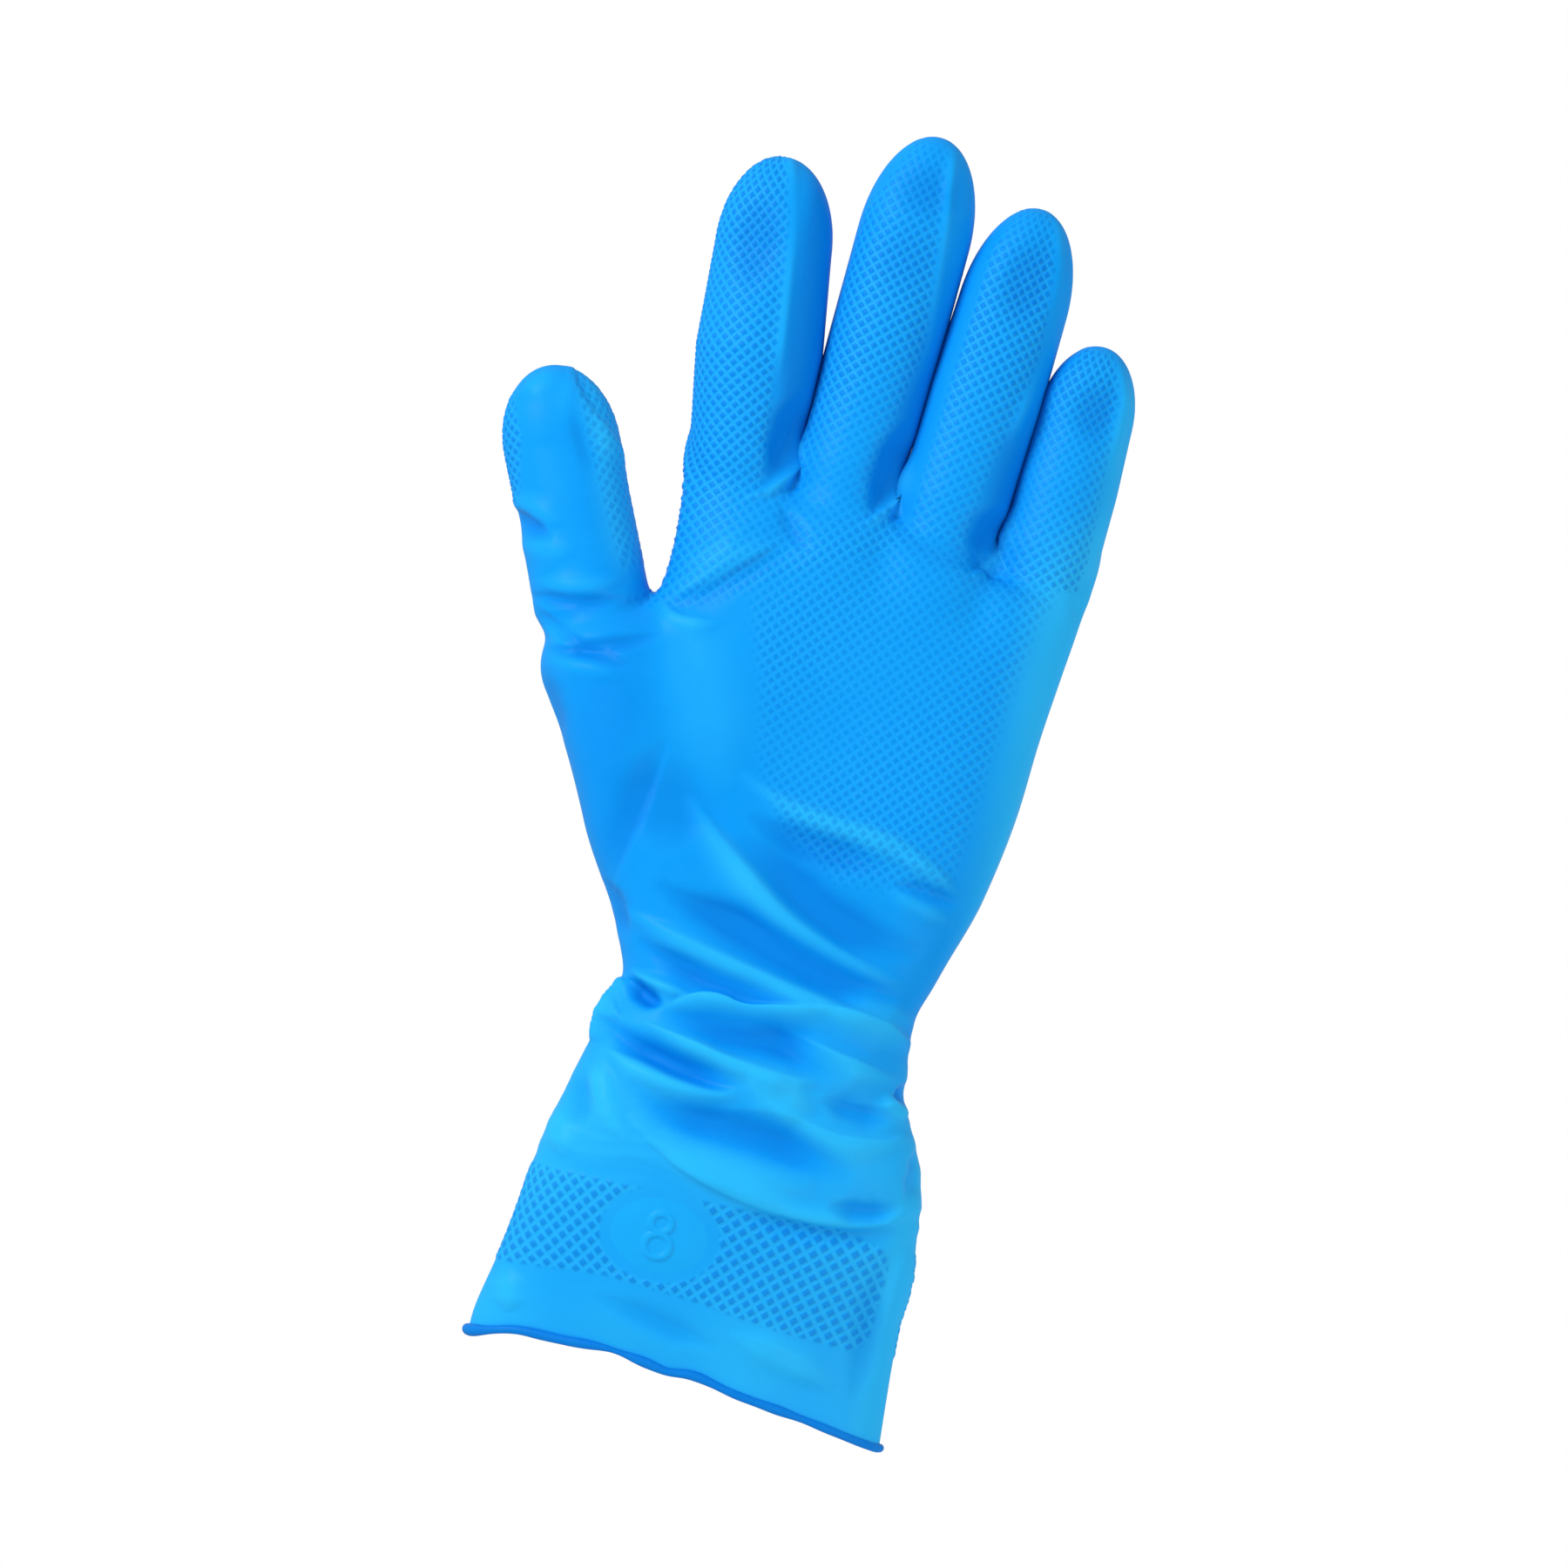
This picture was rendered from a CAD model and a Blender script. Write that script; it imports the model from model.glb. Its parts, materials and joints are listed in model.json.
"""A left-hand rubber glove lying palm up: one film of rubber with its gathers, grip and bead."""
import math

import bpy
import numpy as np
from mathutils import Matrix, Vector
from mathutils.bvhtree import BVHTree
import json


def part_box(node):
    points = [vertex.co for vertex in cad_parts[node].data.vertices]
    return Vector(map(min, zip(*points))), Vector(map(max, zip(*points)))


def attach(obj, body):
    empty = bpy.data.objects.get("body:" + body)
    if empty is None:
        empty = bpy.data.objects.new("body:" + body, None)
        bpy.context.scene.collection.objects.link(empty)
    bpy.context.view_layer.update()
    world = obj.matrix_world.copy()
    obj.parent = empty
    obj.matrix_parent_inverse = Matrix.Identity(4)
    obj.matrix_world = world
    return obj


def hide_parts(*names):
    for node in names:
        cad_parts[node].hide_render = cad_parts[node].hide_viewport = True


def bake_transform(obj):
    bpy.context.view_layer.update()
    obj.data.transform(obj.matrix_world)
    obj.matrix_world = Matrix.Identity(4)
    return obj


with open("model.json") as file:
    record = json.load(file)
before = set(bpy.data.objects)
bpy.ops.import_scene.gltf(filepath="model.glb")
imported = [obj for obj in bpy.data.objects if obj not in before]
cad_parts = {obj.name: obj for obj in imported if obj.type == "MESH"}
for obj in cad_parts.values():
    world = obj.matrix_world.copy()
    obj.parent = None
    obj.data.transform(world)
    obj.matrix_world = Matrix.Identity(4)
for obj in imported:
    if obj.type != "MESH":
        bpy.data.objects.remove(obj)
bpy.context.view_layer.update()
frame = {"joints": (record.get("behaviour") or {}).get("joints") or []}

# All lengths are in millimetres until a mesh is written, in the frame of the CAD model:
# +Y to the fingertips, +X to the little finger, +Z out of the palm, the surface at z = 0.
MM = 0.001
CELL = 1.0  # grid cell of the first surface
WALL = 0.5  # thickness of the film
SLIM = 0.9  # fingers are this much slimmer while the surface is made, so they stay apart
PLUMP = 0.8  # what they get back afterwards
HALF_GAP = 0.75  # least distance of a finger from the middle between it and the next one
WAVES = 9  # in each sum of random waves

# Shares of a finger's length at its middle joint and end joint, as the CAD model has them.
MIDDLE_JOINT = 0.36
END_JOINT = 0.67

# Fingers: widths at the root, the middle joint and below the tip, the tip's length, how much
# shorter the skin is than the CAD model's film, and how it turns (degrees) and lies beside it.
FINGERS = {
    "index": {"widths": (23.4, 28.0, 25.8), "tip": 19.5, "short": 2.4, "turn": 0.9, "aside": 0.8},
    "middle": {"widths": (24.4, 25.2, 25.2), "tip": 22.0, "short": 0.0, "turn": 0.7, "aside": 0.1},
    "ring": {"widths": (24.6, 25.4, 24.4), "tip": 22.0, "short": 2.0, "turn": 0.8, "aside": 0.2},
    "little": {"widths": (22.2, 22.6, 21.6), "tip": 16.5, "short": 0.4, "turn": 0.3, "aside": 0.0},
}
FINGER_DEPTH = (0.88, 0.80, 0.74)  # depth over width at the same three places
THUMB = {"widths": (25.6, 25.0, 25.4), "tip": 17.5, "short": 2.6, "turn": 1.1, "aside": 0.7}
THUMB_DEPTH = (0.95, 0.88, 0.78)
ROOT_TAPER = 0.03  # share of its width and depth that a finger loses in each mm inside the hand
ROOT_REACH = 16.0  # how far a finger runs back into the hand

# The hand's tube: place along Y, left and right edges, height, and squareness of its section.
TUBE = [
    (-150.0, -34.8, 58.4, 27.0, 2.2),
    (-136.0, -34.6, 58.2, 28.0, 2.2),
    (-120.0, -32.8, 57.8, 31.0, 2.2),
    (-100.0, -29.2, 57.0, 34.0, 2.3),
    (-82.0, -25.2, 55.4, 36.0, 2.3),
    (-65.0, -21.6, 48.4, 36.0, 2.3),
    (-50.0, -17.2, 47.0, 34.0, 2.4),
    (-38.0, -20.8, 50.4, 32.5, 2.5),
    (-20.0, -29.6, 56.4, 32.0, 2.6),
    (0.0, -33.0, 60.0, 31.0, 2.7),
    (15.0, -31.0, 61.4, 30.0, 2.7),
    (30.0, -26.6, 63.4, 28.5, 2.7),
    (45.0, -25.4, 65.4, 26.0, 2.7),
    (62.0, -26.2, 66.8, 22.0, 2.7),
]
BALL_OF_THUMB = {"low": (-5.0, -38.0, 15.5), "high": (-34.6, 14.0, 14.5), "radii": (12.0, 14.2)}


def joint(child):
    """A joint of the CAD model by the body it moves: its place in mm and its axis."""
    found = next(j for j in frame["joints"] if j["child"] == child)
    return np.array(found["pos_m"]) / MM, np.array(found["axis"])


def box(node):
    """Lowest and highest corner of a CAD node, in mm."""
    low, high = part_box(node)
    return np.array(low) / MM, np.array(high) / MM


def finger_line(middle, end, shares, tip_node, sizes):
    """A finger's axis from its joints: the root, the way it points and its length."""
    (middle, _), (end, _) = joint(middle), joint(end)
    way = end - middle
    length = np.linalg.norm(way[:2]) / (shares[1] - shares[0])
    way = np.array([way[0], way[1], 0]) / np.linalg.norm(way[:2])
    root = middle - way * length * shares[0] + np.array([sizes["aside"], 0, 0])
    turn = math.radians(sizes["turn"])
    way = np.array([way[0] + turn * way[1], way[1] - turn * way[0], 0])
    tip = box(tip_node)[1][1] - sizes["short"]
    return {"root": root, "way": way, "length": (tip - root[1]) / way[1], **sizes}


def list_fingers():
    """The four fingers and the thumb, placed by the CAD model's joints."""
    lines = {}
    for name, sizes in FINGERS.items():
        shares = (MIDDLE_JOINT, END_JOINT)
        lines[name] = finger_line(f"{name}_mid", f"{name}_tip", shares, f"{name}_tip", sizes)
        lines[name]["depth"] = FINGER_DEPTH
    lines["thumb"] = finger_line("thumb", "thumb_tip", (0.0, 0.36), "thumb_tip", THUMB)
    lines["thumb"]["depth"] = THUMB_DEPTH
    return lines


LINES = list_fingers()


def smooth_min(a, b, reach):
    """Union of two distance fields with a fillet."""
    h = np.clip(1 - np.abs(a - b) / reach, 0, 1)
    return np.minimum(a, b) - h * h * reach / 4


def along_and_across(line, p):
    """Distance along a finger from its root, and sideways from its axis."""
    way = line["way"]
    offset = p[..., :2] - line["root"][:2]
    along = offset[..., 0] * way[0] + offset[..., 1] * way[1]
    across = offset[..., 0] * way[1] - offset[..., 1] * way[0]
    return along, across


def finger_field(line, p, slim=0.0):
    """Rough distance to a finger: oval sections that narrow to a rounded tip."""
    along, across = along_and_across(line, p)
    start = line["length"] - line["tip"]
    stations = np.array([0, MIDDLE_JOINT * 1.2 * line["length"], start])
    half = np.interp(along, stations, np.array(line["widths"]) / 2) - slim
    half *= 1 + ROOT_TAPER * np.minimum(along, 0)
    deep = np.interp(along, stations, np.array(line["widths"]) * line["depth"] / 2)
    rise = 0.4 + 3.0 * np.clip(along / line["length"], 0, 1) ** 2
    up = p[..., 2] - deep - rise
    deep *= 1 + ROOT_TAPER * np.minimum(along, 0)
    past = np.clip(along - start, 0, None) / line["tip"]
    k0 = np.sqrt((across / half) ** 2 + (up / deep) ** 2 + past**2) + 1e-6
    k1 = np.sqrt((across / half**2) ** 2 + (up / deep**2) ** 2 + (past / line["tip"]) ** 2) + 1e-6
    return np.maximum(k0 * (k0 - 1) / k1, -ROOT_REACH - along)


def tube_field(p):
    """Rough distance to the tube of the cuff, wrist and hand."""
    y = p[..., 1]
    rows = np.array(TUBE)
    left, right, height, square = (smooth_rows(rows[:, 0], rows[:, i], y) for i in range(1, 5))
    a = (right - left) / 2
    b = height / 2
    x = np.abs(p[..., 0] - (left + right) / 2) / a
    z = np.abs(p[..., 2] - b) / b
    k0 = (x**square + z**square) ** (1 / square) + 1e-6
    slope = np.sqrt((x ** (square - 1) / a) ** 2 + (z ** (square - 1) / b) ** 2)
    slope = slope * k0 ** (1 - square) + 1e-6
    return (k0 - 1) / slope


def smooth_rows(places, values, y):
    """Values between rows, by a smooth curve through them (monotone cubic)."""
    steps = np.diff(places)
    slopes = np.diff(values) / steps
    tangents = np.zeros(len(places))
    inner = slopes[:-1] * slopes[1:] > 0
    mean = 2 * slopes[:-1] * slopes[1:] / np.where(inner, slopes[:-1] + slopes[1:], 1)
    tangents[1:-1] = np.where(inner, mean, 0)
    tangents[0], tangents[-1] = slopes[0], slopes[-1]
    i = np.clip(np.searchsorted(places, y) - 1, 0, len(steps) - 1)
    t = np.clip((y - places[i]) / steps[i], 0, 1)
    h = steps[i]
    rise = values[i] * (1 + 2 * t) * (1 - t) ** 2 + values[i + 1] * t * t * (3 - 2 * t)
    return rise + h * (tangents[i] * t * (1 - t) ** 2 - tangents[i + 1] * t * t * (1 - t))


def cone_field(p, low, high, radii):
    """Distance to a tapered rod with round ends."""
    low, high = np.array(low), np.array(high)
    way = high - low
    t = np.clip(((p - low) @ way) / (way @ way), 0, 1)
    near = low + t[..., None] * way
    return np.linalg.norm(p - near, axis=-1) - (radii[0] + t * (radii[1] - radii[0]))


def web_y(x):
    """Where the hand ends between the fingers: the webs' line drops to the little finger."""
    return 60.0 - 10.5 * np.clip((x - 12.0) / 32.0, 0, 1) ** 1.4


WEB_SLOPE = 12.0  # how much further the webs reach low down than at the palm


def glove_field(p):
    """Rough distance to the whole glove, negative inside."""
    past_web = p[..., 1] - web_y(p[..., 0]) - WEB_SLOPE * np.clip((17 - p[..., 2]) / 9, 0, 1)
    hand = tube_field(p)
    hand = -smooth_min(-hand, -past_web, 8.0)
    ball = cone_field(p, **BALL_OF_THUMB)
    hand = smooth_min(hand, ball, 10.0)
    hand = smooth_min(hand, finger_field(LINES["thumb"], p), 2.5)
    fingers = [finger_field(LINES[name], p, SLIM) for name in FINGERS]
    apart = list(fingers)
    for i in range(len(fingers) - 1):
        middle = (fingers[i] - fingers[i + 1]) / 2
        apart[i] = np.maximum(apart[i], HALF_GAP + middle)
        apart[i + 1] = np.maximum(apart[i + 1], HALF_GAP - middle)
    field = smooth_min(hand, np.minimum.reduce(apart), 3.0)
    return -smooth_min(-field, p[..., 2] - 0.25, 2.0)


def make_grid():
    """Sample points that cover the glove, with one cell to spare."""
    low = np.array([-73.0, -150.0, -3.0])
    counts = np.array([146, 296, 46])
    axes = [low[i] + CELL * np.arange(counts[i]) for i in range(3)]
    return low, axes


def surface_nets(values, low):
    """Quads of the zero surface of a sampled field, one vertex in each cell that it crosses."""
    inside = values < 0
    corners = [(i, j, k) for i in (0, 1) for j in (0, 1) for k in (0, 1)]
    shape = np.array(values.shape) - 1
    cut = [inside[i:shape[0] + i, j:shape[1] + j, k:shape[2] + k] for i, j, k in corners]
    count = np.sum(cut, axis=0)
    crossed = (count > 0) & (count < 8)
    cells = np.argwhere(crossed)
    number = -np.ones(shape, int)
    number[tuple(cells.T)] = np.arange(len(cells))
    total = np.zeros((len(cells), 3))
    weight = np.zeros(len(cells))
    for a in corners:
        for axis in range(3):
            if a[axis]:
                continue
            b = list(a)
            b[axis] = 1
            va = values[tuple((cells + a).T)]
            vb = values[tuple((cells + b).T)]
            hit = (va < 0) != (vb < 0)
            t = np.where(hit, va / np.where(hit, va - vb, 1), 0)
            point = np.array(a, float) + t[:, None] * (np.array(b) - np.array(a))
            total += point * hit[:, None]
            weight += hit
    points = low + CELL * (cells + total / weight[:, None])
    quads = []
    for axis in range(3):
        u, v = [i for i in range(3) if i != axis]
        lo = [slice(1, n) for n in shape]
        lo[axis] = slice(0, shape[axis])
        here = inside[tuple(lo)]
        hi = list(lo)
        hi[axis] = slice(1, shape[axis] + 1)
        there = inside[tuple(hi)]
        for leaving in (True, False):
            edges = np.argwhere(here & ~there if leaving else ~here & there)
            edges[:, u] += 1
            edges[:, v] += 1
            ring = []
            for du, dv in ((0, 0), (1, 0), (1, 1), (0, 1)):
                cell = edges.copy()
                cell[:, u] -= du
                cell[:, v] -= dv
                ring.append(number[tuple(cell.T)])
            quad = np.stack(ring, 1)
            flip = leaving == (axis == 1)
            quads.append(quad[:, ::-1] if flip else quad)
    return points, np.concatenate(quads)


def settle(points):
    """Move points onto the zero surface of the glove's field."""
    step = 0.05
    for _ in range(3):
        value = glove_field(points)
        slope = np.stack([
            glove_field(points + step * np.eye(3)[i]) - glove_field(points - step * np.eye(3)[i])
            for i in range(3)
        ], 1) / (2 * step)
        size = np.maximum((slope**2).sum(1), 0.05)
        points = points - np.clip(value / size, -1, 1)[:, None] * slope
    return points


def relax(points, quads, turns, keep_edge):
    """Even out a quad mesh by moving each point towards its neighbours' mean."""
    pairs = np.concatenate([quads[:, [i, (i + 1) % 4]] for i in range(4)])
    for _ in range(turns):
        total = np.zeros_like(points)
        count = np.zeros(len(points))
        for a, b in ((0, 1), (1, 0)):
            for axis in range(3):
                total[:, axis] += np.bincount(pairs[:, a], points[pairs[:, b], axis], len(points))
            count += np.bincount(pairs[:, a], minlength=len(points))
        mean = total / count[:, None]
        points = np.where(keep_edge[:, None], points, 0.5 * points + 0.5 * mean)
    return points


def base_surface():
    """The glove's plain shape as quads, open at the mouth."""
    low, axes = make_grid()
    grid = np.stack(np.meshgrid(*axes, indexing="ij"), -1)
    values = glove_field(grid)
    points, quads = surface_nets(values, low)
    keep = (points[quads][:, :, 1] > MOUTH_PLAIN).all(1)
    quads = quads[keep]
    used, quads = np.unique(quads, return_inverse=True)
    points, quads = points[used], quads.reshape(-1, 4)
    edge = boundary(len(points), quads)
    points[edge, 1] = MOUTH_PLAIN
    for _ in range(3):
        points = relax(points, quads, 2, edge)
        points = settle(points)
        points[edge, 1] = MOUTH_PLAIN
    return points, quads


def boundary(count, quads):
    """Which points lie on the mesh's open edge."""
    pairs = np.concatenate([quads[:, [i, (i + 1) % 4]] for i in range(4)])
    pairs = np.sort(pairs, 1)
    found, times = np.unique(pairs, axis=0, return_counts=True)
    edge = np.zeros(count, bool)
    edge[found[times == 1].ravel()] = True
    return edge


def subdivide(points, quads):
    """One Catmull-Clark step. The first points keep their numbers, and the edges' points follow."""
    sides = np.stack([quads, np.roll(quads, -1, 1)], 2).reshape(-1, 2)
    keys = np.sort(sides, 1) @ [len(points), 1]
    edges, which, uses = np.unique(keys, return_inverse=True, return_counts=True)
    ends = np.stack([edges // len(points), edges % len(points)], 1)
    face_points = points[quads].mean(1)
    side_faces = np.repeat(face_points, 4, 0)
    middles = points[ends].mean(1)
    beside = gather(which, side_faces, len(edges)) / uses[:, None]
    edge_points = np.where(uses[:, None] == 1, middles, (middles + beside) / 2)
    around = np.bincount(ends.ravel(), minlength=len(points))[:, None]
    faces_mean = gather(quads.ravel(), side_faces, len(points))
    faces_mean /= np.bincount(quads.ravel(), minlength=len(points))[:, None]
    edges_mean = gather(ends.ravel(), np.repeat(middles, 2, 0), len(points)) / around
    moved = (faces_mean + 2 * edges_mean + (around - 3) * points) / around
    rim = ends[uses == 1]
    rim_sum = gather(rim.ravel(), np.repeat(points[rim].mean(1), 2, 0), len(points))
    on_rim = np.zeros(len(points), bool)
    on_rim[rim.ravel()] = True
    moved[on_rim] = (2 * points[on_rim] + rim_sum[on_rim]) / 4
    edge_ids = len(points) + which.reshape(-1, 4)
    face_ids = len(points) + len(edges) + np.arange(len(quads))[:, None].repeat(4, 1)
    small = np.stack([quads, edge_ids, face_ids, np.roll(edge_ids, 1, 1)], 2).reshape(-1, 4)
    return np.concatenate([moved, edge_points, face_points]), small, edge_ids


def gather(targets, values, count):
    """Sum of the values that go to each target."""
    return np.stack([np.bincount(targets, values[:, i], count) for i in range(3)], 1)


def point_normals(points, quads):
    """Unit normal at each point of a quad mesh."""
    corners = points[quads]
    across = np.cross(corners[:, 2] - corners[:, 0], corners[:, 3] - corners[:, 1])
    total = gather(quads.ravel(), np.repeat(across, 4, 0), len(points))
    return total / (np.linalg.norm(total, axis=1)[:, None] + 1e-9)


def ease(low, high, value):
    """Smooth step from 0 at low to 1 at high."""
    t = np.clip((value - low) / (high - low), 0, 1)
    return t * t * (3 - 2 * t)


def noise(p, cell, seed):
    """Smooth random numbers round 0.5 at points, that change over about one cell."""
    random = np.random.default_rng(seed)
    total = np.zeros(len(p))
    for _ in range(WAVES):
        way = random.normal(size=3)
        way *= math.pi * random.uniform(0.6, 1.3) / np.linalg.norm(way)
        total += np.sin((p / np.array(cell)) @ way + random.uniform(0, 2 * math.pi))
    return 0.5 + 0.5 * total / math.sqrt(WAVES)


# Folds and creases on the palm side: height, width on the left and right of the line as it is
# drawn, how far the crest leans to the left, and the line.
FOLDS = [
    # Thumb: the pinch below its end joint, creases at its root, and the seam of its tip.
    (-1.3, 1.7, 2.2, 0, [(-63, 44), (-59.5, 42.5), (-56, 40.5), (-51, 38.5)]),
    (0.7, 2.4, 1.8, 0, [(-64, 46.5), (-59, 45), (-55, 43.5), (-49, 42.5)]),
    (0.7, 2.5, 2.5, 0, [(-60, 37), (-52, 36), (-45, 38)]),
    (-1.2, 1.4, 2.1, 0, [(-55, 25.8), (-51.6, 26.3), (-44, 26.2), (-36.5, 28.3), (-33, 30)]),
    (0.8, 2.1, 2.1, 0, [(-54.5, 29.3), (-46, 29.2), (-38, 31.5), (-34, 34)]),
    (-1.2, 1.3, 2, 0, [(-53, 24.2), (-41.9, 17.7), (-38.6, 17.4), (-26.7, 21.9), (-22, 24)]),
    (0.8, 1.8, 1.8, 0, [(-52, 21.5), (-46, 19.5), (-41, 15.4)]),
    (-1.1, 1.4, 1.8, 0, [(-49, 15.6), (-45.9, 15.3), (-36.7, 16.6), (-28, 15.1)]),
    (0.6, 2.1, 2.1, 0, [(-48, 12.6), (-38, 13.2), (-30, 12)]),
    (-0.8, 2.8, 2.8, 0, [(-47.6, 12), (-45.5, 5), (-42.8, -0.2), (-41, -6)]),
    (1.2, 1.4, 3.4, 0, [(-55.9, 79.5), (-54.1, 72.6), (-47.6, 65.7), (-41.5, 61.2), (-37, 57)]),
    (0.7, 1.6, 3, 0, [(-65.5, 68.5), (-60, 73), (-56.2, 76.2)]),
    # Crotch of the thumb and the creases that run from it to the index finger.
    (1.2, 1.1, 2.5, 0, [(-27, 31.2), (-21.8, 27.4), (-17.3, 27.1), (-11, 28.5)]),
    (-0.7, 1.8, 2.6, 0, [(-26.5, 26.6), (-17.9, 32.6), (-8.4, 40.7), (1, 47.5)]),
    (0.9, 3.2, 1.6, 0, [(-27, 30.5), (-18.5, 35.4), (-10, 42.6), (-1, 49.5)]),
    (0.6, 2.1, 2.1, 0, [(-24.5, 38), (-16.5, 42), (-9, 50.5)]),
    # Webs between the fingers: the edge of the next finger's root, and the pocket beside it.
    (1.7, 1.8, 1.1, 0, [(-1.6, 76), (-2.6, 67), (-5.5, 60), (-9.5, 57.2), (-13, 55.5)]),
    (-2.1, 2, 3.6, 0, [(-4.4, 82), (-5.2, 70), (-8, 60.8)]),
    (-0.8, 1.4, 1.8, 0, [(-4.5, 57.2), (0, 51), (4.5, 46.5)]),
    (1.7, 1.8, 1.1, 0, [(22.6, 74), (20.6, 63.5), (17.6, 57.6), (13, 54.6)]),
    (-2.1, 2, 3.6, 0, [(19.4, 80), (18, 66), (15.4, 58)]),
    (1.1, 1.8, 1.3, 0, [(46.6, 67), (45, 56), (42.6, 51), (38.6, 48.2)]),
    (-1.5, 2, 3.4, 0, [(43, 66), (41.2, 58), (39.4, 52)]),
    # Palm: soft folds of the loose film across it, steeper towards the wrist.
    (0.9, 9, 8, 0, [(-24, 32), (-16, 18), (-9, 4), (-3, -9)]),
    (2, 2.2, 3.2, 0,
     [(-2, -2), (8, -7), (18, -9.5), (30, -10.5), (40, -13), (50, -18)]),
    (-1.7, 3, 3.4, 0, [(2, -11), (12, -15), (24, -15.5), (36, -18)]),
    (1, 1.6, 2.2, 0, [(34, -13.5), (42, -15.5), (51, -19.5)]),
    (-0.9, 1.4, 1.8, 0, [(36, -20), (44, -19.5), (52, -22)]),
    (1, 1.8, 2.2, 0, [(34, -21), (42, -23.5), (51, -26)]),
    (-2, 4.5, 4.5, 0,
     [(0, -16), (12, -22), (24, -30), (38, -33), (47, -33)]),
    (2.5, 2.2, 4.6, 0,
     [(-12, -8), (-4, -17), (6, -25), (16, -32.5), (28, -37.5), (44, -41)]),
    (-2.5, 3.4, 4.6, 0,
     [(-16, -29), (-8, -32.5), (4, -34), (16, -38), (30, -42.5), (44, -45)]),
    (2.3, 2, 4.4, 0,
     [(-22, -36.5), (-10, -39.5), (4, -43.5), (20, -47), (34, -49.5), (47, -51)]),
    (-0.9, 7, 8, 0, [(-12, -2), (-14, -12), (-12, -24)]),
    (-1.1, 1.6, 5.4, 0, [(-17.5, 2), (-20.8, -12.3), (-23.8, -26.5), (-24.5, -36)]),
    (-1.2, 1.8, 1.8, 0, [(-26.5, -31.5), (-22.9, -34.3), (-20.3, -39.4), (-18, -44)]),
    # Wrist: creases just above the gathers.
    (-2, 2.8, 3, 0,
     [(-17, -42.5), (-7, -46), (4, -48.4), (14, -49.4), (24, -50.4)]),
    (1.2, 2.4, 3, 0, [(30, -45), (40, -47.5), (47.5, -48.5)]),
    # Gathers of the cuff: a pocket that folds over at the left, then ridges and valleys.
    (2.6, 1.9, 4.2, 0.9,
     [(-20.8, -66.9), (-23, -61.6), (-22.6, -57.4), (-19.6, -53.6), (-14, -52.6)]),
    (-3, 1.8, 1.8, 0, [(-17, -51.6), (-12.5, -54.4), (-7, -55.4)]),
    (1.6, 1.2, 1.6, 0, [(-16.5, -49.3), (-9, -51.3), (-1, -52.2)]),
    (2.4, 1.6, 3.4, 0.6,
     [(-8, -57.5), (-3, -53.5), (3, -52), (10, -54.2), (19, -51.9), (29, -48.6)]),
    (1.8, 1.9, 3.5, 0.4, [(24.3, -48.6), (36.2, -50.8), (45.1, -52.9), (49, -55)]),
    (-2.9, 3.6, 4.2, 0,
     [(-9, -57.5), (0, -57.5), (10, -57.5), (20, -57.5), (27, -61), (37, -63)]),
    (2, 2, 3.4, 0.3, [(18, -54.5), (26, -58.5), (35, -60.5), (46, -61.5)]),
    (2.1, 2, 3, 0.4,
     [(-12, -59.5), (-2, -62.6), (9, -65.5), (20, -66.2), (30, -65)]),
    (-3, 3.2, 3.2, 0,
     [(-21, -60.5), (-13, -65), (-3, -68.3), (9, -69), (16, -67.8)]),
    (2.3, 1.8, 3.2, 0.4,
     [(-20, -66.6), (-9, -70.4), (0, -72.6), (8, -72.4), (13, -70)]),
    (1.8, 1.5, 2, 0, [(43.5, -64), (45, -67), (47.5, -68.5), (50, -67)]),
    (-2.3, 1.6, 1.6, 0, [(51.5, -62.6), (48, -64.3), (45.5, -65.8)]),
    (1.5, 4.5, 4.5, 0, [(13, -67), (21, -70), (30, -72)]),
    (-1.5, 2.4, 2.6, 0, [(30, -68), (38, -70), (47, -70.5)]),
    (1.6, 1.6, 3, 0.3,
     [(18, -70.5), (25, -74.5), (35, -77), (46, -76), (51, -72)]),
    (-3.1, 4.6, 5, 0,
     [(-13, -73), (-2, -77), (8, -79), (20, -79.5), (32, -82), (42, -84)]),
    (-2, 2.4, 2.4, 0, [(54, -73), (54.5, -81), (52.5, -88)]),
    (-1.9, 2.6, 1.8, 0, [(36, -91), (45, -91.6), (52, -88)]),
    (1.6, 6.5, 6, 0, [(-4, -81), (8, -86.5), (22, -88), (34, -87)]),
    (1.3, 2.4, 1.4, -0.3,
     [(-12, -79), (-2, -86), (10, -90.5), (24, -93.5), (40, -94.3), (50, -92), (56, -87)]),
    (-0.9, 1.6, 3, 0, [(14, -95.5), (32, -97.2), (48, -95.5), (57, -90)]),
    (1.5, 2.5, 2.5, 0, [(-19, -67.5), (-17, -75), (-14, -82), (-8, -86)]),
    (-1, 2.4, 2.4, 0, [(-22, -72), (-21, -80), (-19, -86.5)]),
    (1.1, 2.4, 2.4, 0, [(-25.4, -82.6), (-23.5, -88), (-21.5, -92.4)]),
    # Cuff: slack behind the band and down to the mouth.
    (1.2, 3.5, 3.5, 0, [(56, -96), (54.5, -106), (55, -116)]),
    (-1, 3, 3, 0, [(53, -97), (50.6, -108), (51, -124), (50, -134)]),
    (1.2, 4, 4, 0, [(20, -123), (34, -126), (46, -131)]),
    (-0.9, 3.5, 3.5, 0, [(-10, -121), (4, -125), (20, -129)]),
    (0.9, 2.7, 2.7, 0, [(-30, -118), (-27.5, -126), (-27, -133)]),
]

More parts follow.
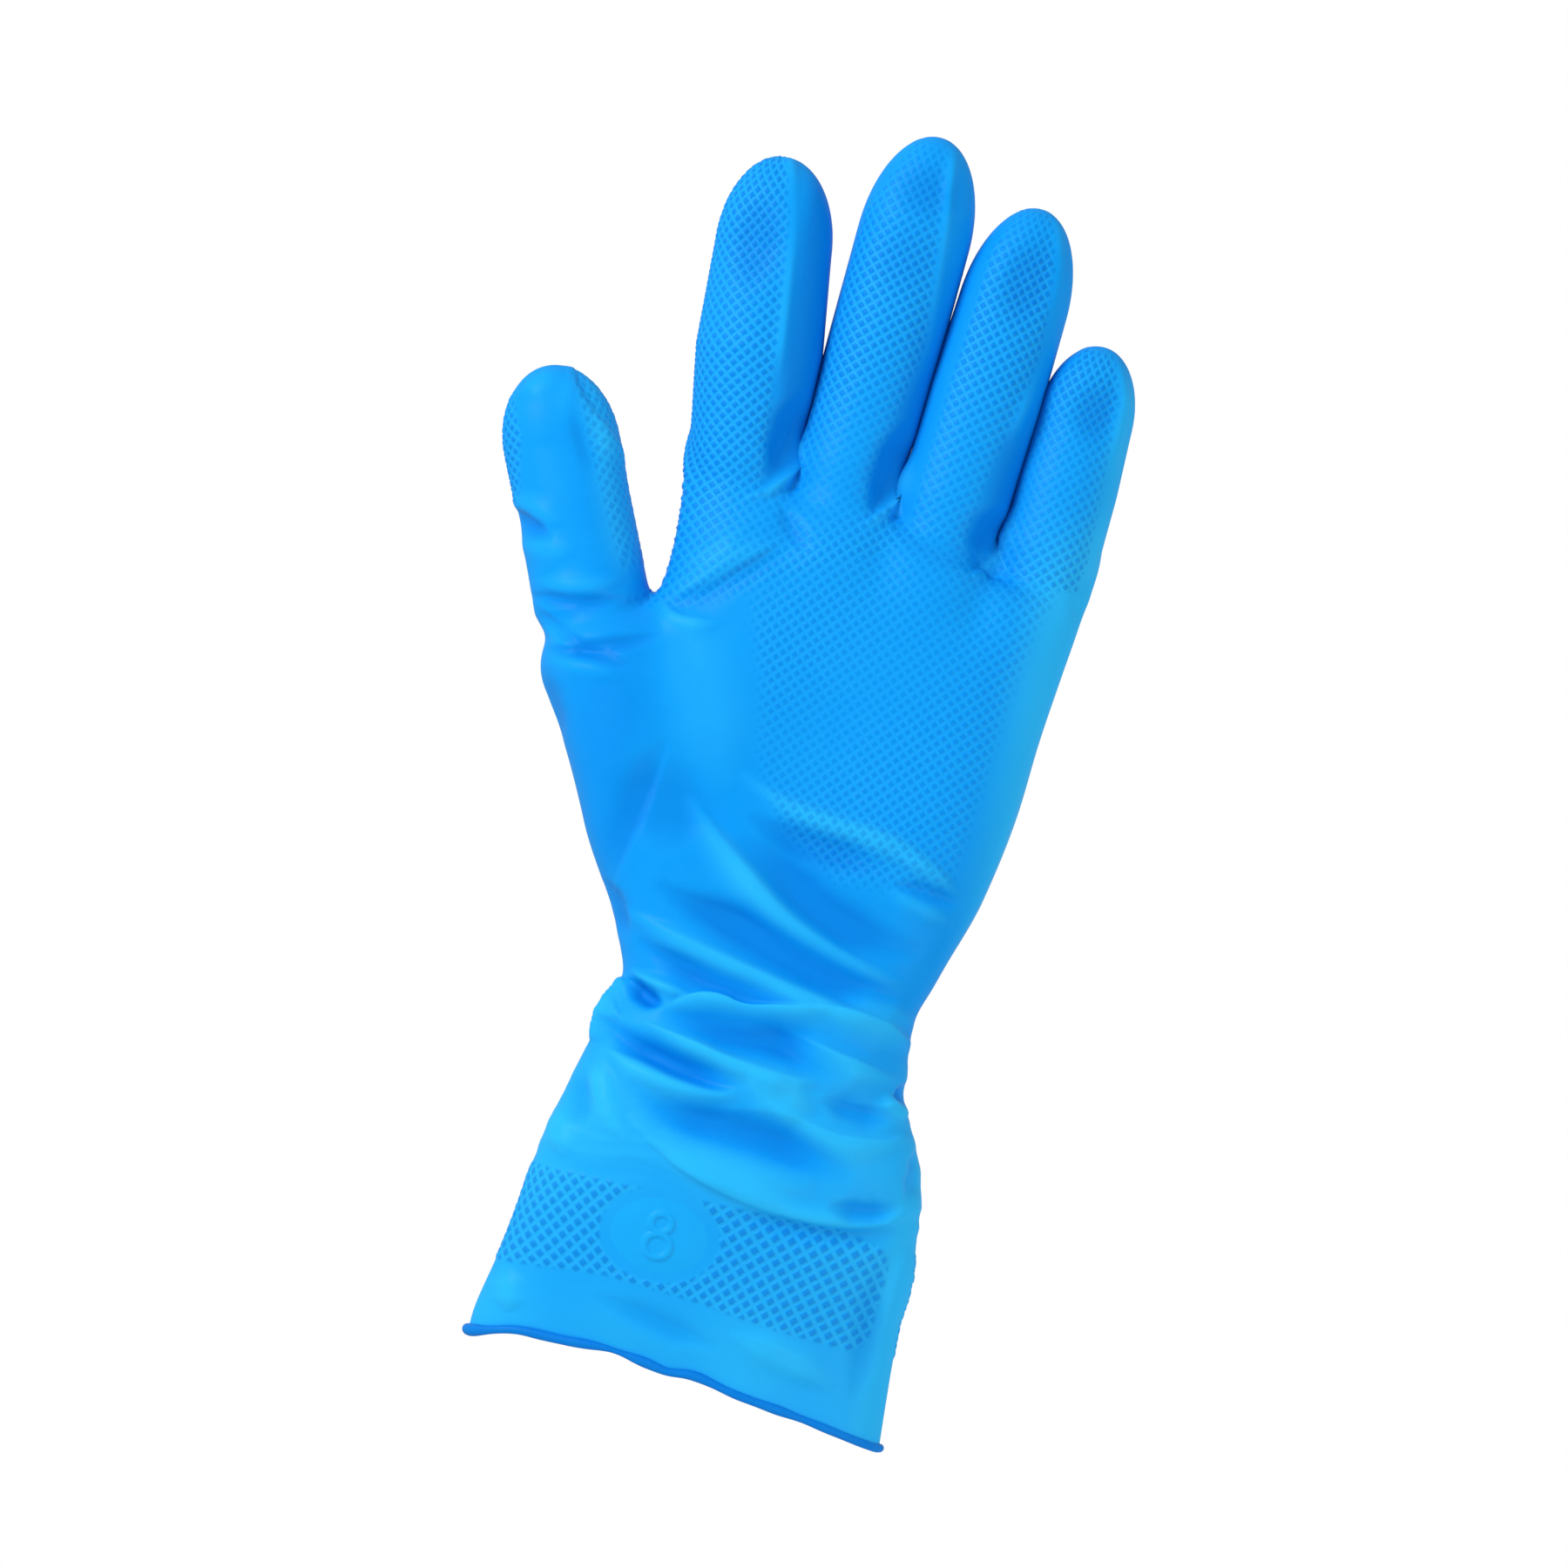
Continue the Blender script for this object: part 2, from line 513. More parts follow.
# Fleshy forms of the hand under the film: place, radii across and along, height.
PADS = [
    (12.0, 6.0, 19.0, 24.0, -2.2),
    (47.0, -8.0, 13.0, 26.0, 1.6),
    (-30.0, 2.0, 12.0, 20.0, 1.2),
    (-12.5, 46.0, 8.5, 8.0, 1.3),
    (9.0, 47.0, 8.5, 8.0, 1.2),
    (31.0, 44.0, 8.5, 8.0, 1.2),
    (53.0, 38.0, 8.5, 8.0, 1.2),
    (-1.5, 52.0, 4.0, 7.0, -1.0),
    (20.0, 51.0, 4.0, 7.0, -1.0),
    (42.5, 43.0, 4.0, 7.0, -1.0),
]

# Dents in the fingers' pads: finger, distance from its tip, sideways place, radii and depth.
DENTS = [
    ("index", 19.0, -3.5, 5.0, 9.5, -1.5),
    ("middle", 12.0, 0.5, 6.5, 6.0, -1.1),
    ("middle", 28.0, 0.0, 6.0, 7.0, -0.7),
    ("ring", 16.0, 1.5, 5.0, 8.5, -1.4),
    ("little", 14.0, 2.0, 4.5, 6.0, -1.2),
    ("thumb", 14.0, 6.0, 3.0, 10.0, -0.8),
]

# Right flanks of the fingers: how much deeper in colour they are (below 0 is paler), and from and
# to where along the finger that fades out.
FLANKS = {
    "index": (2.2, 60, 85),
    "middle": (1.6, 25, 60),
    "ring": (1.6, 15, 45),
    "little": (-2.0, 60, 80),
    "thumb": (-1.8, 60, 90),
}
RIDGE = 0.55  # height of the ridge along the grip's right edge


def smooth_line(line):
    """A polyline with its corners cut twice."""
    line = np.array(line, float)
    for _ in range(2):
        cut = np.stack([0.75 * line[:-1] + 0.25 * line[1:], 0.25 * line[:-1] + 0.75 * line[1:]], 1)
        line = np.concatenate([line[:1], cut.reshape(-1, 2), line[-1:]])
    return line


def near_line(p, line):
    """Signed distance to a line (left is positive), the share of it passed, and its left side."""
    steps = np.diff(line, axis=0)
    lengths = np.linalg.norm(steps, axis=1)
    passed = np.concatenate([[0], np.cumsum(lengths)]) / lengths.sum()
    best = np.full(len(p), np.inf)
    side, share, left = np.zeros(len(p)), np.zeros(len(p)), np.zeros((len(p), 2))
    for i, (start, step, length) in enumerate(zip(line, steps, lengths)):
        offset = p - start
        t = np.clip(offset @ step / length**2, 0, 1)
        gap = np.linalg.norm(offset - t[:, None] * step, axis=1)
        nearer = gap < best
        best = np.where(nearer, gap, best)
        turn = np.sign(step[0] * offset[:, 1] - step[1] * offset[:, 0])
        side = np.where(nearer, turn, side)
        share = np.where(nearer, passed[i] + t * (passed[i + 1] - passed[i]), share)
        left[nearer] = np.array([-step[1], step[0]]) / length
    return side * best, share, left


def folds(points, normals):
    """Movement that the folds of the palm side give to each point, and their height there."""
    move = np.zeros_like(points)
    relief = np.zeros(len(points))
    facing = ease(-0.25, 0.35, normals[:, 2])
    for height, left_width, right_width, lean, line in FOLDS:
        line = smooth_line(line)
        reach = 3 * max(left_width, right_width)
        inside = (points[:, :2] > line.min(0) - reach).all(1)
        inside &= (points[:, :2] < line.max(0) + reach).all(1)
        near = np.flatnonzero(inside & (facing > 0))
        distance, share, left = near_line(points[near, :2], line)
        whole = ease(-0.05, 0.4, np.minimum(share, 1 - share))
        width = np.where(distance > 0, left_width, right_width) * (0.3 + 0.7 * whole)
        form = np.exp(0.2 - np.sqrt((distance / width) ** 4 + 0.04)) * whole
        form *= ease(0, 0.06, np.minimum(share, 1 - share))
        form *= facing[near]
        move[near] += normals[near] * (height * form)[:, None]
        move[near, :2] += left * (lean * height * form)[:, None]
        relief[near] += height * form
    return move, relief


def pads(points, normals):
    """Height of the hand's pads."""
    height = np.zeros(len(points))
    for x, y, across, along, rise in PADS:
        far = ((points[:, 0] - x) / across) ** 2 + ((points[:, 1] - y) / along) ** 2
        height += rise * np.exp(-far)
    return height * ease(0.1, 0.7, normals[:, 2])


def dents(points, normals):
    """Height of the dents in the fingers' pads and of the ridges that the grip ends in."""
    height = np.zeros(len(points))
    for name, back, side, across_radius, along_radius, rise in DENTS:
        along, across = along_and_across(LINES[name], points)
        place = LINES[name]["length"] - back
        far = ((across - side) / across_radius) ** 2 + ((along - place) / along_radius) ** 2
        height += rise * np.exp(-(far**1.5))
    for name, rows in GRIP.items():
        along, across = along_and_across(LINES[name], points)
        edge = np.interp(along, *np.array(rows, float)[:, [0, 2]].T)
        ends = ease(22, 34, along) * ease(rows[-1][0] + 4, rows[-1][0] - 6, along)
        wave = 0.4 + 1.2 * noise(points, (9, 9, 9), 12)
        height += RIDGE * wave * ends * np.exp(-(((across - edge - 1.2) / 1.3) ** 2))
    return height * ease(0.1, 0.7, normals[:, 2])


def tone(points, owner, along, normals):
    """How much paler (above 0) or deeper (below 0) the film's colour is, by its place."""
    x, y = points[:, 0], points[:, 1]
    pale = 1.5 * ease(-40, -76, y) + 2.6 * ease(48, 60, x) * ease(72, 48, y) * (owner != "ring")
    deep = 0.9 * np.exp(-(((x + 31) / 11) ** 2) - ((y - 2) / 22) ** 2)
    for name, (amount, start, end) in FLANKS.items():
        _, across = along_and_across(LINES[name], points)
        side = ease(3.0, 9.5, across) * ease(0, 14, along) * ease(end, start, along) * (owner == name)
        deep += amount * side * ease(-0.5, 0.1, normals[:, 2])
    return pale - deep


def gathers(points, normals):
    """Height of the loose folds that run across the wrist and the cuff, mostly behind and beside."""
    y = points[:, 1]
    drift = 5.0 * noise(points, (26, 14, 26), 3) + 2.0 * noise(points, (9, 12, 9), 4)
    across = points.copy()
    across[:, 1] = y + drift
    ridges = 1 - np.abs(2 * noise(across, (38, 5.2, 60), 5) - 1)
    small = 1 - np.abs(2 * noise(across, (16, 3.0, 30), 6) - 1)
    band = ease(-104, -92, y) * ease(-36, -52, y)
    calm = 1 - 0.9 * ease(-0.75, -0.15, normals[:, 2])
    height = (1.9 * ridges + 0.7 * small - 1.3) * band * calm
    loose = noise(points, (30, 24, 30), 7) - 0.5
    slack = ease(-60, -90, y) * 1.2 + ease(66, 20, y) * ease(0.2, -0.4, normals[:, 2]) * 0.8
    streaks = (noise(points, (11, 90, 40), 8) - 0.5) * ease(-108, -124, y)
    return height + loose * slack + 0.5 * streaks


GRIP_PITCH = 1.85  # of the lattice on the fingers and palm
CUFF_PITCH = 2.4
SQUARE = 0.3  # how far each square of the lattice stands up
PALM_GRIP_SHARE = 0.6  # strength of the palm's lattice, which is worn, against the fingers'

# Where each finger has grip: distance from the root, then its left and right limit.
GRIP = {
    "index": [(-6, -16, 4.6), (20, -16, 3.6), (60, -16, 2.4), (70, -12, 0.6), (76, -8, -1)],
    "middle": [(-6, -11, 5), (10, -11, 5.2), (38, -11, 7.7), (64, -11, 4.7), (80, -5, 2)],
    "ring": [(-6, -7.5, 4.8), (10, -7.5, 5), (46, -7.5, 8), (64, -7.5, 5.7), (74, -4, 2)],
    "little": [(-4, -11, 7.7), (8, -11, 7.7), (30, -9, 6.5), (44, -8, 5.5), (52, -4, 2)],
}
THUMB_GRIP = [(8, 7.5, 20), (30, 6.0, 20), (48, 5.0, 20), (56, 4.0, 12)]
THUMB_TIP_GRIP = [(26, -20, -11.5), (38, -20, -8.5), (50, -20, -8.5), (56, -12, -8.5)]
# The palm's grip: its left edge (x at each y), its foot (y at each x) and its right edge.
PALM_LEFT = [(-11, 8.3), (0, 2), (18, -1.5), (34, -6.7), (45, -8)]
PALM_FOOT = [(8.3, -11), (24, -21.5), (45, -20), (58, -9)]
PALM_RIGHT = [(-20, 48), (0, 50), (20, 52), (40, 55), (60, 63)]
BAND_TOP = [(-60, -101), (-31, -97), (-21, -90.5), (10, -91.8), (39, -95), (49.5, -98), (90, -100)]
BAND_FOOT = [(-60, -117), (-31, -117.5), (-9, -115.4), (10, -117), (30, -120), (50, -121.5), (90, -122)]
BADGE = {"centre": (1.7, -104.4), "size": (24.7, 19.0)}
BADGE_MARGIN = 0.8  # bare film round the badge


def between(rows, along, across, soft):
    """1 where a point lies between two limits that change along a finger."""
    rows = np.array(rows, float)
    left = np.interp(along, rows[:, 0], rows[:, 1])
    right = np.interp(along, rows[:, 0], rows[:, 2])
    ends = ease(rows[0, 0] - 4, rows[0, 0], along) * ease(rows[-1, 0] + 2, rows[-1, 0] - 1, along)
    return ease(left - soft, left + soft, across) * ease(right + soft, right - soft, across) * ends


def grip(points, normals, owner):
    """The lattice's two coordinates, in squares, and its strength at each point."""
    palm_side = ease(-0.45, -0.1, normals[:, 2])
    flat = points[:, :2].copy()
    strength = np.zeros(len(points))
    for name in LINES:
        line = LINES[name]
        along, across = along_and_across(line, points)
        radius = line["widths"][1] / 2
        turn = np.arctan2(across, points[:, 2] - 9.0)
        own = ease(0, 12, along) * (owner == name)
        round_it = np.stack([line["root"][0] + radius * turn, line["root"][1] + along], 1)
        flat += own[:, None] * (round_it - flat)
        if name == "thumb":
            pad = 0.5 * between(THUMB_GRIP, along, across, 1.0)
            here = np.maximum(pad, between(THUMB_TIP_GRIP, along, across, 1.0))
        else:
            here = between(GRIP[name], along, across, 0.8)
        strength = np.maximum(strength, here * (owner == name))
    edge = np.interp(points[:, 1], *np.array(PALM_LEFT, float).T)
    foot = np.interp(points[:, 0], *np.array(PALM_FOOT, float).T)
    palm = ease(edge - 2, edge + 3, points[:, 0]) * ease(foot - 3, foot + 3, points[:, 1])
    right = np.interp(points[:, 1], *np.array(PALM_RIGHT, float).T)
    palm *= ease(right + 2, right - 2, points[:, 0]) * ease(70, 64, points[:, 1]) * (owner == "hand")
    crotch = ease(27, 31, points[:, 1]) * ease(-40, -25, points[:, 0]) * (owner == "hand")
    crotch *= ease(24, 30, points[:, 1] - 0.5 * (points[:, 0] + 26))
    patchy = 0.35 + 0.9 * noise(points, (22, 26, 40), 9)
    strength = np.maximum(strength, np.maximum(PALM_GRIP_SHARE * palm, crotch)) * palm_side
    strength *= np.clip(patchy, 0.3, 1)
    cuff = cuff_grip(points, normals)
    on_cuff = points[:, 1] < -80
    around = np.where(on_cuff, around_cuff(points), flat[:, 0])
    pitch = np.where(on_cuff, CUFF_PITCH, GRIP_PITCH)
    strength = np.where(on_cuff, cuff, strength)
    u = (around + flat[:, 1]) / math.sqrt(2) / pitch
    v = (around - flat[:, 1]) / math.sqrt(2) / pitch
    return np.stack([u, v, strength], 1)


def around_cuff(points):
    """Length of the way round the cuff from the middle of the palm side."""
    angles = np.linspace(-math.pi, math.pi, 241)
    half_width, half_height, power = 43.5, 16.5, 2 / 2.3
    x = half_width * np.sign(np.sin(angles)) * np.abs(np.sin(angles)) ** power
    z = half_height * np.sign(np.cos(angles)) * np.abs(np.cos(angles)) ** power
    way = np.concatenate([[0], np.cumsum(np.hypot(np.diff(x), np.diff(z)))])
    turn = np.arctan2((points[:, 0] - 12) / half_width, (points[:, 2] - half_height) / half_height)
    place = np.interp(turn, np.arctan2(x / half_width, z / half_height), way)
    return place - way[len(way) // 2]


def cuff_grip(points, normals):
    """Strength of the lattice on the cuff's band, which leaves the badge bare."""
    x, y = points[:, 0], points[:, 1]
    top = np.interp(x, *np.array(BAND_TOP, float).T)
    foot = np.interp(x, *np.array(BAND_FOOT, float).T)
    band = ease(top + 0.6, top - 0.6, y) * ease(foot - 0.6, foot + 0.6, y)
    end = np.hypot(np.clip(x - 42, 0, None), np.clip(np.abs(y + 109) - 6, 0, None) * 1.2)
    gap = ease(0.2, 0.5, normals[:, 2]) * ease(9.0, 10.0, end)
    radii = np.array(BADGE["size"]) / 2 + BADGE_MARGIN
    oval = np.hypot(*((points[:, :2] - BADGE["centre"]) / radii).T)
    bare = ease(1.04, 0.98, oval) * (normals[:, 2] > 0.2)
    return band * (1 - gap) * (1 - bare)


def lattice_height(lattice):
    """Height of the lattice's squares from its coordinates and strength."""
    off = np.abs(lattice[:, :2] - np.floor(lattice[:, :2]) - 0.5).max(1)
    return SQUARE * ease(0.44, 0.22, off) * lattice[:, 2]


DEPTH_INSIDE = 2.5  # fingers touch, so a point's owner is looked up this far under the surface
# The line of the mouth's edge: y at each x.
MOUTH = [
    (-34.9, -133.9), (-22.9, -131.1), (-14.7, -131.2), (-5.9, -130.9), (4.9, -132.4),
    (9.6, -133.4), (13.9, -132.9), (24.7, -135.2), (40.1, -137.8), (57.2, -141.5),
]
MOUTH_PLAIN = -141.0  # where the plain surface ends


def trim_mouth(points):
    """Pull the cuff's end onto the slanted, wavy line of the mouth."""
    share = np.clip((-112 - points[:, 1]) / 29, 0, 1)
    line = np.array(MOUTH)
    target = smooth_rows(line[:, 0], line[:, 1], points[:, 0])
    points[:, 1] += share**2 * (target - MOUTH_PLAIN)
    return points


def owners(points, normals):
    """Which finger, or the hand, each point of the surface belongs to, and how far along it."""
    names = list(LINES)
    points = points - DEPTH_INSIDE * normals
    fields = np.stack([finger_field(LINES[n], points) for n in names], 1)
    nearest = np.array(names)[fields.argmin(1)]
    along = np.stack([along_and_across(LINES[n], points)[0] for n in names], 1)
    along = along[np.arange(len(points)), fields.argmin(1)]
    return np.where((along > 0) & (fields.min(1) < 3), nearest, "hand"), along


def shape_glove(points, quads):
    """The finished outer surface: its points, normals, lattice, and its relief for the colour."""
    normals = point_normals(points, quads)
    owner, along = owners(points, normals)
    plump = PLUMP * ease(0, 10, along) * np.isin(owner, list(FINGERS))
    lattice = grip(points, normals, owner)
    move, relief = folds(points, normals)
    loose = gathers(points, normals)
    dented = dents(points, normals)
    height = pads(points, normals) + dented + loose + plump
    shade = 1.3 * dented + tone(points, owner, along, normals)
    points = points + move + normals * height[:, None]
    points = trim_mouth(points)
    plain = point_normals(points, quads)
    points = points + plain * lattice_height(lattice)[:, None]
    pressed = 0.15 + 0.85 * ease(-1.2, 1.0, points[:, 2])
    points[:, 2] = np.where(points[:, 2] < 1.0, pressed, points[:, 2])
    return points, point_normals(points, quads), lattice, relief + loose + shade


# Pieces of the film: the two bodies each bends between, and the CAD nodes it stands for.
PIECES = {
    "hand": (
        "hand",
        "knuckles",
        ["palm_skin", "back_skin", "knuckle_fold", "knuckle_band", "finger_webs", "thumb_web"],
    ),
    "cuff": ("hand", "cuff", ["wrist_gather", "cuff_sleeve", "cuff_grip_band", "cuff_hem"]),
    "thumb_lower": ("hand", "thumb", ["thumb_base"]),
    "thumb_upper": ("thumb", "thumb_tip", ["thumb_tip_fold", "thumb_tip"]),
}
for name in FINGERS:
    lower_nodes = [f"{name}_base", f"{name}_mid_fold", f"{name}_mid"]
    upper_nodes = [f"{name}_tip_fold", f"{name}_tip"]
    PIECES[f"{name}_lower"] = ("knuckles", f"{name}_mid", lower_nodes)
    PIECES[f"{name}_upper"] = (f"{name}_mid", f"{name}_tip", upper_nodes)
FINGER_SEAM = 9.0  # from the root
MIDDLE_REACH = 12.0  # half of the length that bends at a middle joint
END_REACH = 8.3
THUMB_ROOT = np.array([-27.4, 32.0])  # a point of the plane where the thumb starts
THUMB_LEAN = math.radians(42.5)
THUMB_WAY = np.array([-math.sin(THUMB_LEAN), math.cos(THUMB_LEAN)])
THUMB_SEAM = 18.0
THUMB_RIGHT = -20.0  # the thumb's film lies left of this
CUFF_SEAM = -44.0


def finger_zones(line):
    """Where a finger bends at its middle joint and end joint, from its root."""
    middle = MIDDLE_JOINT * line["length"]
    end = END_JOINT * line["length"]
    reach = min(MIDDLE_REACH, middle - FINGER_SEAM - 0.2)
    end_reach = min(END_REACH, end - middle - reach)
    return (middle - reach, middle + reach), (end - end_reach, end + end_reach)


def name_quads(points, quads):
    """The piece that each quad of the plain surface goes to."""
    centre = points[quads].mean(1)
    label = np.full(len(quads), "hand", dtype="<U16")
    label[centre[:, 1] < CUFF_SEAM] = "cuff"
    normals = point_normals(points, quads)[quads].mean(1)
    owner, along = owners(centre, normals)
    for name in FINGERS:
        middle, end = finger_zones(LINES[name])
        own = (owner == name) & (along > FINGER_SEAM)
        label[own] = f"{name}_lower"
        label[own & (along > (middle[1] + end[0]) / 2)] = f"{name}_upper"
    past = (centre[:, :2] - THUMB_ROOT) @ THUMB_WAY
    under = centre - DEPTH_INSIDE * normals
    nearer = finger_field(LINES["thumb"], under) < tube_field(under)
    thumb = (past > 0) & nearer & (centre[:, 0] < THUMB_RIGHT)
    label[thumb] = "thumb_lower"
    label[thumb & (past > THUMB_SEAM)] = "thumb_upper"
    return label


def film_piece(name, pick, base, fine):
    """Mesh of one piece of the film: its outer and inner skin and the rims between them."""
    base_quads, inner_points, inner_normals = base
    points, normals, quads, edge_ids, lattice, relief = fine
    outer = quads.reshape(-1, 4, 4)[pick].reshape(-1, 4)
    inner = base_quads[pick][:, ::-1] + len(points)
    own = base_quads[pick]
    sides = np.stack([own, np.roll(own, -1, 1), edge_ids[pick]], 2).reshape(-1, 3)
    keys = np.sort(sides[:, :2], 1) @ [len(points), 1]
    _, which, uses = np.unique(keys, return_inverse=True, return_counts=True)
    a, b, m = sides[uses[which] == 1].T
    inside = len(points)
    corners = ((m, a, a + inside), (b, m, b + inside), (m, a + inside, b + inside))
    rims = np.concatenate([np.stack(corner, 1) for corner in corners])
    used = np.unique(np.concatenate([outer.ravel(), inner.ravel(), rims.ravel()]))
    new = np.zeros(len(points) + len(inner_points), int)
    new[used] = np.arange(len(used))
    faces = [*new[outer].tolist(), *new[inner].tolist(), *new[rims].tolist()]
    piece = make_mesh(name, np.concatenate([points, inner_points])[used], faces)
    all_normals = np.concatenate([normals, inner_normals])[used]
    piece.data.normals_split_custom_set_from_vertices(all_normals.tolist())
    lattice = np.concatenate([lattice, np.zeros_like(inner_points)])[used]
    relief = np.concatenate([relief, np.zeros(len(inner_points))])[used]
    store(piece, "lattice", "FLOAT_VECTOR", "vector", lattice)
    store(piece, "relief", "FLOAT", "value", relief)
    return piece


def store(piece, name, kind, field, values):
    """A point attribute for the material."""
    attribute = piece.data.attributes.new(name, kind, "POINT")
    attribute.data.foreach_set(field, np.ascontiguousarray(values, np.float32).ravel())


def make_mesh(name, points, faces):
    """A mesh object from points in mm."""
    mesh = bpy.data.meshes.new(name)
    mesh.from_pydata((np.asarray(points) * MM).tolist(), [], faces)
    mesh.shade_smooth()
    piece = bpy.data.objects.new(name, mesh)
    bpy.context.scene.collection.objects.link(piece)
    return piece


BEAD_RADIUS = 0.85
BEAD_SIDES = 12


def mouth_loop(count, quads):
    """The open edge of the fine surface as a ring of point numbers."""
    sides = np.stack([quads, np.roll(quads, -1, 1)], 2).reshape(-1, 2)
    _, which, uses = np.unique(np.sort(sides, 1) @ [count, 1], return_inverse=True, return_counts=True)
    after = dict(sides[uses[which] == 1].tolist())
    ring = [next(iter(after))]
    while after[ring[-1]] != ring[0]:
        ring.append(after[ring[-1]])
    return ring


def make_bead(points, normals, ring):
    """The rolled edge of the mouth: a lumpy rod round the open edge."""
    line = points[ring[::2]]
    line += 0.35 * normals[ring[::2]]
    for _ in range(3):
        line = (np.roll(line, 1, 0) + 2 * line + np.roll(line, -1, 0)) / 4
    along = np.roll(line, -1, 0) - np.roll(line, 1, 0)
    along /= np.linalg.norm(along, axis=1)[:, None]
    out = normals[ring[::2]]
    out -= (out * along).sum(1)[:, None] * along
    out /= np.linalg.norm(out, axis=1)[:, None]
    over = np.cross(along, out)
    radius = BEAD_RADIUS * (0.85 + 0.45 * noise(line, (5, 9, 9), 11))
    radius += 0.2 * np.exp(-(((line[:, 0] + 34) / 2.5) ** 2))
    turn = np.linspace(0, 2 * math.pi, BEAD_SIDES, endpoint=False)
    skin = line[:, None] + radius[:, None, None] * (
        np.cos(turn)[None, :, None] * out[:, None] + np.sin(turn)[None, :, None] * over[:, None]
    )
    skin[..., 2] = np.maximum(skin[..., 2], 0.05)
    i = np.arange(len(line))[:, None]
    j = np.arange(BEAD_SIDES)[None]
    i2, j2 = (i + 1) % len(line), (j + 1) % BEAD_SIDES
    here, there = i * BEAD_SIDES, i2 * BEAD_SIDES
    faces = np.stack([here + j, there + j, there + j2, here + j2], 2)
    return make_mesh("mouth_bead", skin.reshape(-1, 3), faces.reshape(-1, 4)[:, ::-1].tolist())


NUMERAL = [((0.0, 2.7), (2.2, 2.0)), ((0.0, -2.3), (2.8, 2.6))]  # the loops of an 8: centre, radii
NUMERAL_STROKE = 1.15
BADGE_RINGS = 44
BADGE_SPOKES = 192


def make_badge(points, quads):
    """The oval size badge: a thin plate on the film with a raised numeral."""
    tree = BVHTree.FromPolygons(points.tolist(), quads.tolist())
    share = np.linspace(0, 1, BADGE_RINGS + 1)[1:]
    turn = np.linspace(0, 2 * math.pi, BADGE_SPOKES, endpoint=False)
    x = share[:, None] * np.cos(turn) * BADGE["size"][0] / 2
    y = share[:, None] * np.sin(turn) * BADGE["size"][1] / 2
    flat = np.concatenate([[[0, 0]], np.stack([x, y], 2).reshape(-1, 2)])
    raised = np.zeros(len(flat))
    for (cx, cy), (rx, ry) in NUMERAL:
        far = np.hypot((flat[:, 0] - cx) / rx, (flat[:, 1] - cy) / ry)
        gap = np.abs(far - 1) * (rx + ry) / 2
        raised = np.maximum(raised, 0.5 * ease(NUMERAL_STROKE, NUMERAL_STROKE * 0.2, gap))
    edge = np.concatenate([[0], np.repeat(share, BADGE_SPOKES)])
    rise = 0.5 * ease(1.0, 0.5, edge) - 0.1 + raised
    top = []
    for (dx, dy), lift in zip(flat, rise):
        x, y = dx + BADGE["centre"][0], dy + BADGE["centre"][1]
        hit = tree.ray_cast(Vector((x, y, 90.0)), Vector((0, 0, -1)))[0]
        top.append((x, y, hit.z + lift))
    top = np.array(top)
    low = top - [0, 0, 0.3]
    i = np.arange(BADGE_SPOKES)
    j = (i + 1) % BADGE_SPOKES
    faces = [[0, a + 1, b + 1] for a, b in zip(i, j)]
    for ring in range(BADGE_RINGS - 1):
        s = 1 + ring * BADGE_SPOKES
        faces += np.stack([s + i, s + BADGE_SPOKES + i, s + BADGE_SPOKES + j, s + j], 1).tolist()
    count = len(top)
    under = [[v + count for v in face[::-1]] for face in faces]
    s = 1 + (BADGE_RINGS - 1) * BADGE_SPOKES
    wall = np.stack([s + i, count + s + i, count + s + j, s + j], 1).tolist()
    return make_mesh("size_plate", np.concatenate([top, low]), faces + under + wall)


def node(tree, kind, **inputs):
    """Add a shader node and set or join its inputs."""
    made = tree.nodes.new(kind)
    for key, value in inputs.items():
        if key in ("operation", "blend_type", "data_type", "attribute_name"):
            setattr(made, key, value)
    for key, value in inputs.items():
        if key in ("operation", "blend_type", "data_type", "attribute_name"):
            continue
        socket = made.inputs[int(key[1:])] if key[0] == "i" and key[1:].isdigit() else made.inputs[key]
        if isinstance(value, bpy.types.NodeSocket):
            tree.links.new(value, socket)
        else:
            socket.default_value = value
    return made


def maths(tree, operation, *values):
    """A maths node's result."""
    inputs = {f"i{i}": value for i, value in enumerate(values)}
    return node(tree, "ShaderNodeMath", operation=operation, **inputs).outputs[0]


def mix(tree, share, a, b):
    """Colour a towards colour b."""
    made = node(tree, "ShaderNodeMix", data_type="RGBA", i0=share, i6=a, i7=b)
    return made.outputs[2]


def colour(red, green, blue):
    """An sRGB colour, 0 to 255, as linear values."""
    values = [c / 255 for c in (red, green, blue)]
    return (*[c / 12.92 if c < 0.04045 else ((c + 0.055) / 1.055) ** 2.4 for c in values], 1)


MAIN = colour(0, 140, 229)
DEEP = colour(0, 104, 200)
PALE = colour(40, 178, 237)
BADGE_TONE = colour(18, 158, 233)
DARK = colour(0, 108, 205)


